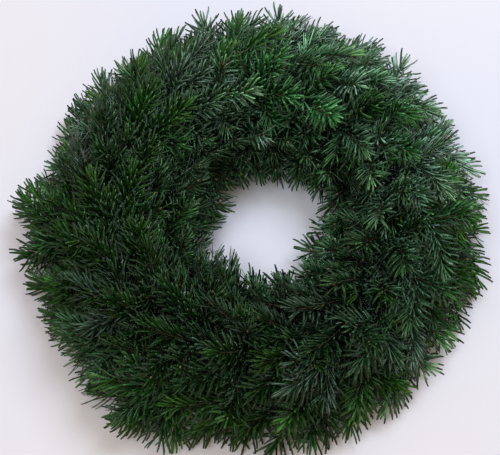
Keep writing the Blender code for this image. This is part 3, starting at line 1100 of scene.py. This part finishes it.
@dataclass
class Spray:
    """One cut spray: a main shoot with its stem, its side shoots, and the pairs of twigs on them.

    lighter and bluer, from -1 to 1, are how the bough that it is cut from differs from others;
    where the seeds place them, lighter and darker sprays are partly painted light and shade.
    Angles are in degrees. A pair of numbers is the least and the most, but for twig_rise, which is
    the mean of how steeply twigs rise from the comb and its spread.
    """

    row: Row
    station: int
    needle: NeedleForm
    twig: TwigForm
    dice: np.random.Generator
    lighter: float = 0.0
    bluer: float = 0.0
    bough_light: float = 0.5
    bough_blue: float = 0.13
    spray_blue: float = 0.28
    shoot_blue: float = 0.15
    twig_blue: float = 0.1
    youngest: float = 0.9
    density: float = 870.0
    filler_density: float = 0.8
    filler_turn: float = 12.0
    filler_fork: Pair = (0.3, 0.5)
    flatness: Pair = (0.45, 0.9)
    roll_spread: float = 26.0
    bow_shares: Pair = (0.1, 1.9)
    bow_power: float = 2.5
    path_points: int = 8
    stem_points: int = 6
    stem_end: float = 4.0
    main_radius: float = 2 * MM
    side_radius: float = 1.3 * MM
    leafy_length: float = 95 * MM
    filler_leafy_length: float = 80 * MM
    least_bare: float = 6 * MM
    rim_tilts: Pair = (15, 60)
    hole_tilts: Pair = (105, 150)
    least_inward: float = 0.75
    overhang: float = 6 * MM
    unevenness: float = 7 * MM
    least_kept: float = 0.4
    young_length: float = 70 * MM
    young_shares: Pair = (0.9, 1.1)
    twig_length: float = 50 * MM
    twig_lengths: Pair = (0.82, 1.12)
    twig_points: int = 5
    twig_radius: float = 1 * MM
    twig_bare: float = 4 * MM
    twig_angle: float = 56.0
    twig_angle_spread: float = 8.0
    twig_straightening: float = 0.3
    twig_rise: Pair = (0.05, 0.12)
    twig_turning: float = 0.2
    floor: float = 0.6 * MM
    low: float = 3 * MM
    roof: float = 145 * MM
    roof_depth: float = 14 * MM

    @property
    def name(self) -> str:
        """The name of the solid that this spray stands for."""
        return f"{self.row.name}_{self.station + 1:02d}"

    @property
    def leave(self) -> float:
        """The turn, in degrees, at which the stem leaves its lane."""
        return self.station * STATION_STEP + self.row.leave

    @property
    def growth(self) -> float:
        """How much longer this station's shoots are than the row's."""
        growth = self.row.swell * STATION_GROWTH[self.station] * MM
        return growth - self.row.shift * math.cos(math.radians(self.leave))

    def tips(self, solid_dice: random.Random) -> list[Tip]:
        """The ends of the solid's own shoots, drawn as the solid draws them.

        Args:
            solid_dice: The source that the solids are drawn from, in order.

        Returns:
            The main shoot's tip, then the side shoots'.
        """
        tips = [Tip(tip.tilt + solid_dice.uniform(-1, 1) * TILT_SPREAD,
                    tip.turn + solid_dice.uniform(-1, 1) * TURN_SPREAD,
                    tip.reach + self.growth + solid_dice.uniform(-1, 1) * REACH_SPREAD,
                    tip.fork) for tip in self.row.tips]
        for number, tip in enumerate(tips):
            length = tip.reach - (tip.fork if number else LEAVE_AT)
            room = (length * (1 - FORK_BEND) - NEEDLE_ROOT) / NEEDLE_RING_SPACING
            for _ in range(min(NEEDLE_RINGS, int(room) + 1) * NEEDLES_A_RING):
                solid_dice.uniform(-1, 1)
        return tips

    def filler_tips(self) -> list[Tip]:
        """The ends of the shoots that fill the space between the solid's own.

        Their tilts are spread evenly over the row's share of the ring's section. Each ends at a
        share of the reach that the foliage has at that tilt.

        Returns:
            Their tips.
        """
        tips = []
        step = (self.row.high - self.row.low) / self.row.fillers
        for k in range(self.row.fillers):
            tilt = self.row.low + (k + self.dice.uniform(0, 1)) * step
            full = float(np.interp(tilt, REACH_TILTS, REACHES)) + self.growth
            reach = full * self.dice.uniform(self.row.least, self.row.most)
            turn = self.dice.uniform(-self.filler_turn, self.filler_turn)
            tips.append(Tip(tilt, turn, reach, reach * self.dice.uniform(*self.filler_fork)))
        return tips

    def rim_at(self, turn: float) -> float:
        """How far out a twig's tip may end at a turn, for its needles to reach the rim."""
        return round_table(turn, RIM, RIM_STEP) - self.overhang

    def hole_at(self, turn: float) -> float:
        """How near the axis a twig's tip may end at a turn, for its needles to reach the hole."""
        return round_table(turn, HOLE, HOLE_STEP) + self.overhang

    def leafy_reach(self, tip: Tip, bow: float, filler: bool) -> float:
        """How far out a leafy shoot ends, by where the solid's shoot ends.

        From tilt 15 to 60 the rim's table gives way to the solid's own reach. From 105 to 150
        the reach goes to itself x wanted / full, where full is the foliage's reach at that tilt
        and wanted the one that brings the needles to the edge of the hole.

        Args:
            tip: The end of the solid's shoot.
            bow: How many degrees farther round its own tip bends.
            filler: Whether the shoot only fills the space between others, well inside the rim.

        Returns:
            Its reach, in metres.
        """
        turn = (self.leave + tip.turn + self.row.lean * (tip.reach - LEAVE_AT) - bow) % 360
        full = float(np.interp(tip.tilt, REACH_TILTS, REACHES)) + self.growth
        inward = max(-math.cos(math.radians(tip.tilt)), self.least_inward)
        wanted = (RING_RADIUS - self.hole_at(turn)) / inward
        at_hole = float(np.interp(tip.tilt, self.hole_tilts, (0, 1)))
        reach = tip.reach * (1 + (wanted / full - 1) * at_hole)
        rim = self.rim_at(turn)
        at_rim = float(np.interp(tip.tilt, self.rim_tilts, (1, 0)))
        if filler:
            return min(reach, reach + (rim - reach) * at_rim)
        rim -= self.dice.uniform(0, self.unevenness)
        return reach + (rim - reach) * at_rim

    def shoot_path(self, start: Tip, tip: Tip, bow: float) -> np.ndarray:
        """The solid's own shoot: distance grows evenly, tilt and turn follow a quarter sine wave.

        Args:
            start: Where it leaves.
            tip: Where it ends.
            bow: How many degrees farther round its tip bends than the solid's.

        Returns:
            Points along it.
        """
        share = np.linspace(0, 1, self.path_points)
        eased = np.sin(share * math.pi / 2)
        distance = start.reach + (tip.reach - start.reach) * share
        tilt = start.tilt + (tip.tilt - start.tilt) * eased
        turn = start.turn + (tip.turn - start.turn) * eased
        turn = turn + self.row.lean * (distance - LEAVE_AT) - bow * share ** self.bow_power
        return ring_points(distance, tilt, self.leave + turn)

    def stem_path(self, first: np.ndarray) -> np.ndarray:
        """The stem: along its lane on the rails, then a round bend p(1-t)^2 + 2ct(1-t) + ft^2.

        Args:
            first: The shoot's first point.

        Returns:
            Points from the cut end to just before that point.
        """
        tilt, lane = (0 if self.row.lane >= 0 else 180), abs(self.row.lane)
        turns = self.leave + np.linspace(STEM_RUN, self.stem_end, self.stem_points)
        run = ring_points(lane, tilt, turns)
        corner = ring_points(lane, tilt, np.array([self.leave - 1]))
        t = np.array([0.25, 0.5, 0.75])[:, None]
        bend = run[-1] * (1 - t) ** 2 + corner * 2 * t * (1 - t) + first * t * t
        return np.concatenate([run, bend])

    def comb_face(self, path: np.ndarray) -> np.ndarray:
        """The direction that a frond's upper side looks in, square to its own direction.

        It turns by the row's roll from the way the sprays sweep towards the ring's upper side.

        Args:
            path: The shoot's points.

        Returns:
            A unit vector.
        """
        outward, upward, round_ring = (d[len(path) // 2] for d in ring_directions(path))
        along = unit(path[-1] - path[len(path) // 2])
        swept = square_to(outward + round_ring, along)
        roll = math.radians(self.row.roll + self.dice.normal(0, self.roll_spread))
        return square_to(math.cos(roll) * swept + math.sin(roll) * upward, along)

    def inside(self, path: np.ndarray) -> np.ndarray:
        """Shortens a twig that would pass the rim or the hole, but keeps two fifths of it.

        The share that stays is the way from its root to that edge over the way to its own tip.

        Args:
            path: The twig's points.

        Returns:
            Its points, drawn in towards its root.
        """
        turn = math.degrees(math.atan2(path[-1, 1], path[-1, 0])) % 360
        root, tip = (math.hypot(*path[k, :2]) for k in (0, -1))
        edge = min(max(tip, self.hole_at(turn)), RING_RADIUS + self.rim_at(turn))
        share = 1.0 if edge == tip else max((edge - root) / (tip - root), self.least_kept)
        return path[0] + (path - path[0]) * share

    def pair(self, parent: Shoot, distance: float, length: float) -> list[Shoot]:
        """Two twigs that leave a shoot on opposite sides and bend forward.

        The direction is cos(a) along + sin(a) side + rise face, and a falls by three tenths from
        root to tip.

        Args:
            parent: The shoot they grow on.
            distance: How far along it they grow, in metres.
            length: Their length.

        Returns:
            The two shoots.
        """
        where = np.array([distance])
        root = parent.at(where, parent.path)[0]
        along = unit(parent.at(where, unit(np.gradient(parent.path, axis=0))))[0]
        face = square_to(parent.face, along)
        side = np.cross(along, face)
        share = np.linspace(0, 1, self.twig_points)[:, None]
        twigs = []
        for hand in (-1, 1):
            angle = np.radians(self.twig_angle + self.dice.normal(0, self.twig_angle_spread))
            angle = angle * (1 - self.twig_straightening * share)
            rise = self.dice.normal(*self.twig_rise)
            direction = unit(np.cos(angle) * along + np.sin(angle) * hand * side + rise * face)
            reach = length * self.dice.uniform(*self.twig_lengths)
            steps = direction[:-1] * reach / (len(share) - 1)
            path = self.inside(root + np.concatenate([np.zeros((1, 3)), np.cumsum(steps, axis=0)]))
            turned = square_to(face + self.dice.normal(0, self.twig_turning, 3), direction[-1])
            twigs.append(Shoot(path, turned, self.twig_radius, self.twig_bare, parent.density,
                               self.dice.uniform(*self.flatness),
                               parent.shade + self.dice.normal(0, self.twig_blue),
                               parent.young, parent.bright))
        return twigs

    def shoots(self, solid_dice: random.Random) -> list[Shoot]:
        """All the spray's twigs: the solid's own shoots with their pairs, then the fillers.

        A shoot has a pair of twigs where it is long enough, and a filler has none. Their blueness
        is the row's at that turn + bough blue x bluer + chance, and they are exp(bough light x
        lighter) times as light as the row's painted light and shade there.

        Args:
            solid_dice: The source that the solids are drawn from.

        Returns:
            The shoots.
        """
        tips = self.tips(solid_dice)
        main = tips[0]
        tips += self.filler_tips()
        start = Tip(main.tilt, LEAVE_TURN, LEAVE_AT)
        shade = self.row.tint.blueness(self.leave) + self.bough_blue * self.bluer
        shade = shade + self.dice.uniform(-self.spray_blue, self.spray_blue)
        # Painted light and shade by the turn, times the bough's own lightness.
        bright = self.row.tint.light(self.leave) * math.exp(self.bough_light * self.lighter)
        grown = []
        for number, tip in enumerate(tips):
            if number:
                eased = math.sin((tip.fork - LEAVE_AT) / (main.reach - LEAVE_AT) * math.pi / 2)
                start = Tip(main.tilt, LEAVE_TURN + (main.turn - LEAVE_TURN) * eased, tip.fork)
            filler = number >= len(self.row.tips)
            bow = self.row.bow * self.dice.uniform(*self.bow_shares)
            longer = Tip(tip.tilt, tip.turn, self.leafy_reach(tip, bow, filler), tip.fork)
            path = self.shoot_path(start, longer, bow)
            shoot = Shoot(path, self.comb_face(path),
                          self.side_radius if number else self.main_radius, 0.0, self.density,
                          self.dice.uniform(*self.flatness),
                          shade + self.dice.normal(0, self.shoot_blue),
                          self.dice.uniform(0, 1) ** 2 * self.youngest, bright)
            total = shoot.lengths()[-1]
            leafy = self.filler_leafy_length if filler else self.leafy_length
            shoot.bare = max(total - leafy, self.least_bare)
            if filler:
                shoot.density *= self.filler_density
            if not number:
                shoot.stem = self.stem_path(path[0])
            grown.append(shoot)
            first = total - self.young_length * self.dice.uniform(*self.young_shares)
            if first > self.least_bare and not filler:
                grown += self.pair(shoot, first, self.twig_length)
        return grown

    def settled(self, points: np.ndarray) -> np.ndarray:
        """Presses what would reach below the surface flat on it, and lays over what is too high.

        Below low a height z becomes floor + w exp((z - low) / w), with w = low - floor. Less than
        w = roof depth under the roof, or above, it becomes roof - w exp((roof - w - z) / w).

        Args:
            points: The points.

        Returns:
            The points, none below the floor or above the roof.
        """
        width = self.low - self.floor
        sunk = points[:, 2] < self.low
        points[sunk, 2] = self.floor + width * np.exp((points[sunk, 2] - self.low) / width)
        width = self.roof_depth
        limit = self.roof - width
        high = points[:, 2] > limit
        points[high, 2] = self.roof - width * np.exp((limit - points[high, 2]) / width)
        return points

    def build(self, solid_dice: random.Random,
              materials: list[bpy.types.Material]) -> bpy.types.Object:
        """Makes the spray's piece, which stands for its solid.

        Args:
            solid_dice: The source that the solids are drawn from.
            materials: The materials of a leafy piece, in slot order.

        Returns:
            The object.
        """
        shoots = self.shoots(solid_dice)
        grown = [self.needle.grow(shoot, self.dice) for shoot in shoots]
        needles = Needles(*(np.concatenate([getattr(one, part.name) for one in grown])
                            for part in fields(Needles)))
        surfaces = [self.needle.surface(needles)]
        surfaces += [self.twig.surface(shoot, k, len(shoots)) for k, shoot in enumerate(shoots)]
        surface = Surface.joined(surfaces)
        surface.points = self.settled(surface.points)
        piece = surface.to_object(f"leafy_{self.name}", materials)
        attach(piece, "root")
        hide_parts(self.name)
        LOG.info("%s: %d shoots, %d needles, %d triangles",
                 piece.name, len(shoots), len(needles.roots), len(surface.faces))
        return piece


# --- Ring frame and binding wire ---


@dataclass
class RingFrame:
    """Two round rails and the ties welded under them."""

    rail_offset: float = 12 * MM
    rail_height: float = 3.2 * MM
    rail_radius: float = 1.6 * MM
    steps: int = 120
    sides: int = 12
    ties: int = 9
    tie_turn: float = 5.0
    tie_reach: float = 14.6 * MM
    tie_radius: float = 1.2 * MM
    tie_shares: tuple[float, ...] = (-1, -0.98, -0.93, -0.5, 0, 0.5, 0.93, 0.98, 1)
    tie_widths: tuple[float, ...] = (0.05, 0.6, 1, 1, 1, 1, 1, 0.6, 0.05)
    crease: float = 60.0

    def rail(self, radius: float) -> Surface:
        """A closed ring of round wire: (radius + r cos(a)) round the turn, height + r sin(a).

        Args:
            radius: The ring's radius.

        Returns:
            Its surface.
        """
        turn = np.linspace(0, 2 * math.pi, self.steps + 1)
        height = np.full_like(turn, self.rail_height)
        path = np.stack([radius * np.cos(turn), radius * np.sin(turn), height], -1)
        radii = np.full(len(path), self.rail_radius)
        return plain_surface(*tube(path, radii, path[0], self.sides), self.sides)

    def tie(self, turn: float) -> Surface:
        """A short bar under both rails, with rounded ends, that rests on the surface below.

        Args:
            turn: Where it is, in degrees.

        Returns:
            Its surface.
        """
        share = np.array(self.tie_shares)
        radii = self.tie_radius * np.array(self.tie_widths)
        path = ring_points(share * self.tie_reach, np.zeros(1), np.full(1, turn))
        path[:, 2] = self.tie_radius
        return plain_surface(*tube(path, radii, np.array([0.0, 0.0, 1.0]), self.sides))

    def build(self, material: bpy.types.Material) -> bpy.types.Object:
        """Makes the frame's piece.

        Args:
            material: Its painted wire.

        Returns:
            The object.
        """
        parts = [self.rail(RING_RADIUS + self.rail_offset),
                 self.rail(RING_RADIUS - self.rail_offset)]
        parts += [self.tie(self.tie_turn + k * 360 / self.ties) for k in range(self.ties)]
        piece = Surface.joined(parts).to_object("round_ring_frame", [material], self.crease)
        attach(piece, "root")
        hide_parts("ring_frame")
        LOG.info("%s: %d rails, %d ties", piece.name, 2, self.ties)
        return piece


@dataclass
class BindingWire:
    """One long wire wound round the rails and the stems, a turn for each station.

    side and corner are how far its section reaches from the ring's centreline at half height and
    at its corners. short is how much of a turn its end stops before its start.
    """

    radius: float = 0.6 * MM
    end_radius: float = 0.05 * MM
    side: float = 16.8 * MM
    corner: float = 15.6 * MM
    low: float = 0.9 * MM
    middle: float = 4.5 * MM
    high: float = 9.3 * MM
    corners_at: tuple[float, ...] = (0, 0.06, 0.44, 0.5, 0.56, 0.94, 1.0)
    short: float = 0.06
    steps: int = 30
    sides: int = 8
    crease: float = 60.0

    def path(self) -> np.ndarray:
        """The helix: a rounded box section, its corners eased, carried once round the ring.

        The section's corners are joined by straight runs. Each point is the mean of five of the
        run's, from one step before it to one step after, which rounds the corners.

        Returns:
            Points along the wire.
        """
        side, corner = self.side, self.corner
        out = (side, corner, -corner, -side, -corner, corner, side)
        height = (self.middle, self.high, self.high, self.middle, self.low, self.low, self.middle)
        turns = np.linspace(0, STATIONS - self.short, STATIONS * self.steps)
        near = (turns[:, None] + np.linspace(-1, 1, 5) / self.steps) % 1
        offset = np.interp(near, self.corners_at, out).mean(1)
        lift = np.interp(near, self.corners_at, height).mean(1)
        angle = np.radians(turns * STATION_STEP)
        radius = RING_RADIUS + offset
        return np.stack([radius * np.cos(angle), radius * np.sin(angle), lift], -1)

    def build(self, material: bpy.types.Material) -> bpy.types.Object:
        """Makes the wire's piece.

        Args:
            material: Its lacquered wire.

        Returns:
            The object.
        """
        path = self.path()
        radii = np.full(len(path), self.radius)
        radii[[0, -1]] = self.end_radius
        wire = plain_surface(*tube(path, radii, np.array([1.0, 0.0, 0.0]), self.sides))
        piece = wire.to_object("wound_binding_wire", [material], self.crease)
        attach(piece, "root")
        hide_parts("binding_wire")
        LOG.info("%s: %d turns", piece.name, STATIONS)
        return piece


def plain_surface(points: np.ndarray, faces: np.ndarray, unrolled: np.ndarray,
                  welded: int = 0) -> Surface:
    """A tube as a surface of one material. A closed tube's last ring of points becomes its first.

    Args:
        points: The tube's points.
        faces: Its triangles.
        unrolled: Each corner's place on the unrolled tube.
        welded: How many points at the end lie on the first ones.

    Returns:
        The surface.
    """
    if welded:
        last = len(points) - welded
        faces = np.where(faces >= last, faces - last, faces)
        points = points[:last]
    zero = np.zeros((len(points), 3))
    return Surface(points, faces, np.zeros(len(faces), int), zero, zero, unrolled)


# --- Studio ---


@dataclass(frozen=True)
class Lamp:
    """A square soft light: where it hangs, its side, its power in watts and its sRGB colour."""

    name: str
    place: tuple[float, float, float]
    size: float
    power: float
    tint: str


@dataclass
class Studio:
    """The floor, the soft lights and the camera."""

    elevation: float = 70.0
    distance: float = 1.2
    aim: Vector = field(default_factory=lambda: Vector((0.0, 0.0, 0.06)))
    lens: float = 67.2
    shift: Pair = (-0.0082, -0.0275)
    floor_size: float = 6.0
    sky: str = "ebcfa9"
    sky_strength: float = 0.48
    lamps: tuple[Lamp, ...] = (Lamp("window_light", (1.3, 1.6, 3.1), 1.7, 89, "e4eeff"),
                               Lamp("fill_light", (-1.0, -0.6, 3.0), 1.6, 34, "e8f1ff"))

    def floor(self) -> None:
        """A wide flat square, just below the wreath."""
        half = self.floor_size / 2
        mesh = bpy.data.meshes.new("studio_floor")
        corners = [(-half, -half, 0), (half, -half, 0), (half, half, 0), (-half, half, 0)]
        mesh.from_pydata(corners, [], [(0, 1, 2, 3)])
        mesh.materials.append(PaleSheet().material())
        sheet = bpy.data.objects.new("studio_floor", mesh)
        bpy.context.scene.collection.objects.link(sheet)

    def light(self, lamp: Lamp) -> None:
        """Hangs a lamp that looks at the wreath.

        Args:
            lamp: The lamp.
        """
        data = bpy.data.lights.new(lamp.name, "AREA")
        data.size = lamp.size
        data.energy = lamp.power
        data.color = linear(lamp.tint)[:3]
        holder = bpy.data.objects.new(lamp.name, data)
        holder.location = lamp.place
        holder.rotation_euler = (self.aim - holder.location).to_track_quat("-Z", "Y").to_euler()
        bpy.context.scene.collection.objects.link(holder)

    def camera(self) -> None:
        """A camera that looks down on the wreath from in front, with no depth of field."""
        rise = math.radians(self.elevation)
        data = bpy.data.cameras.new("studio_camera")
        data.lens = self.lens
        data.shift_x, data.shift_y = self.shift
        data.dof.use_dof = False
        camera = bpy.data.objects.new("studio_camera", data)
        camera.location = self.aim + self.distance * Vector((0, -math.cos(rise), math.sin(rise)))
        camera.rotation_euler = (self.aim - camera.location).to_track_quat("-Z", "Y").to_euler()
        bpy.context.scene.collection.objects.link(camera)
        bpy.context.scene.camera = camera

    def build(self) -> None:
        """Sets up the floor, the sky's soft fill, the lights and the camera."""
        scene = bpy.context.scene
        scene.view_settings.view_transform = "Standard"
        world = bpy.data.worlds.new("studio_sky")
        world.use_nodes = True
        background = world.node_tree.nodes["Background"]
        background.inputs["Color"].default_value = linear(self.sky)
        background.inputs["Strength"].default_value = self.sky_strength
        scene.world = world
        self.floor()
        for lamp in self.lamps:
            self.light(lamp)
        self.camera()


def main() -> None:
    """Builds the wreath's sprays, its frame and wire, and the studio."""
    logging.basicConfig(level=logging.INFO, format="%(message)s")
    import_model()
    leafy = [finish.material() for finish in (
        NeedleUpper(), NeedleUnder(), Grains.BARK.value, ResinBud(), Grains.CUT_WOOD.value)]
    solid_dice = random.Random(SOLID_SEED)
    needle, twig = NeedleForm(), TwigForm()
    lighter, bluer = (np.random.default_rng(seed).uniform(-1, 1, (len(Rows), STATIONS))
                      for seed in (LIGHTNESS_SEED, BLUENESS_SEED))
    for number, row in enumerate(Rows):
        for station in range(STATIONS):
            dice = np.random.default_rng((FOLIAGE_SEED, number, station))
            Spray(row.value, station, needle, twig, dice, float(lighter[number, station]),
                  float(bluer[number, station])).build(solid_dice, leafy)
    RingFrame().build(Grains.FRAME_WIRE.value.material())
    BindingWire().build(Grains.BINDING_WIRE.value.material())
    Studio().build()
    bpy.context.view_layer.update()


if __name__ == "__main__":
    main()
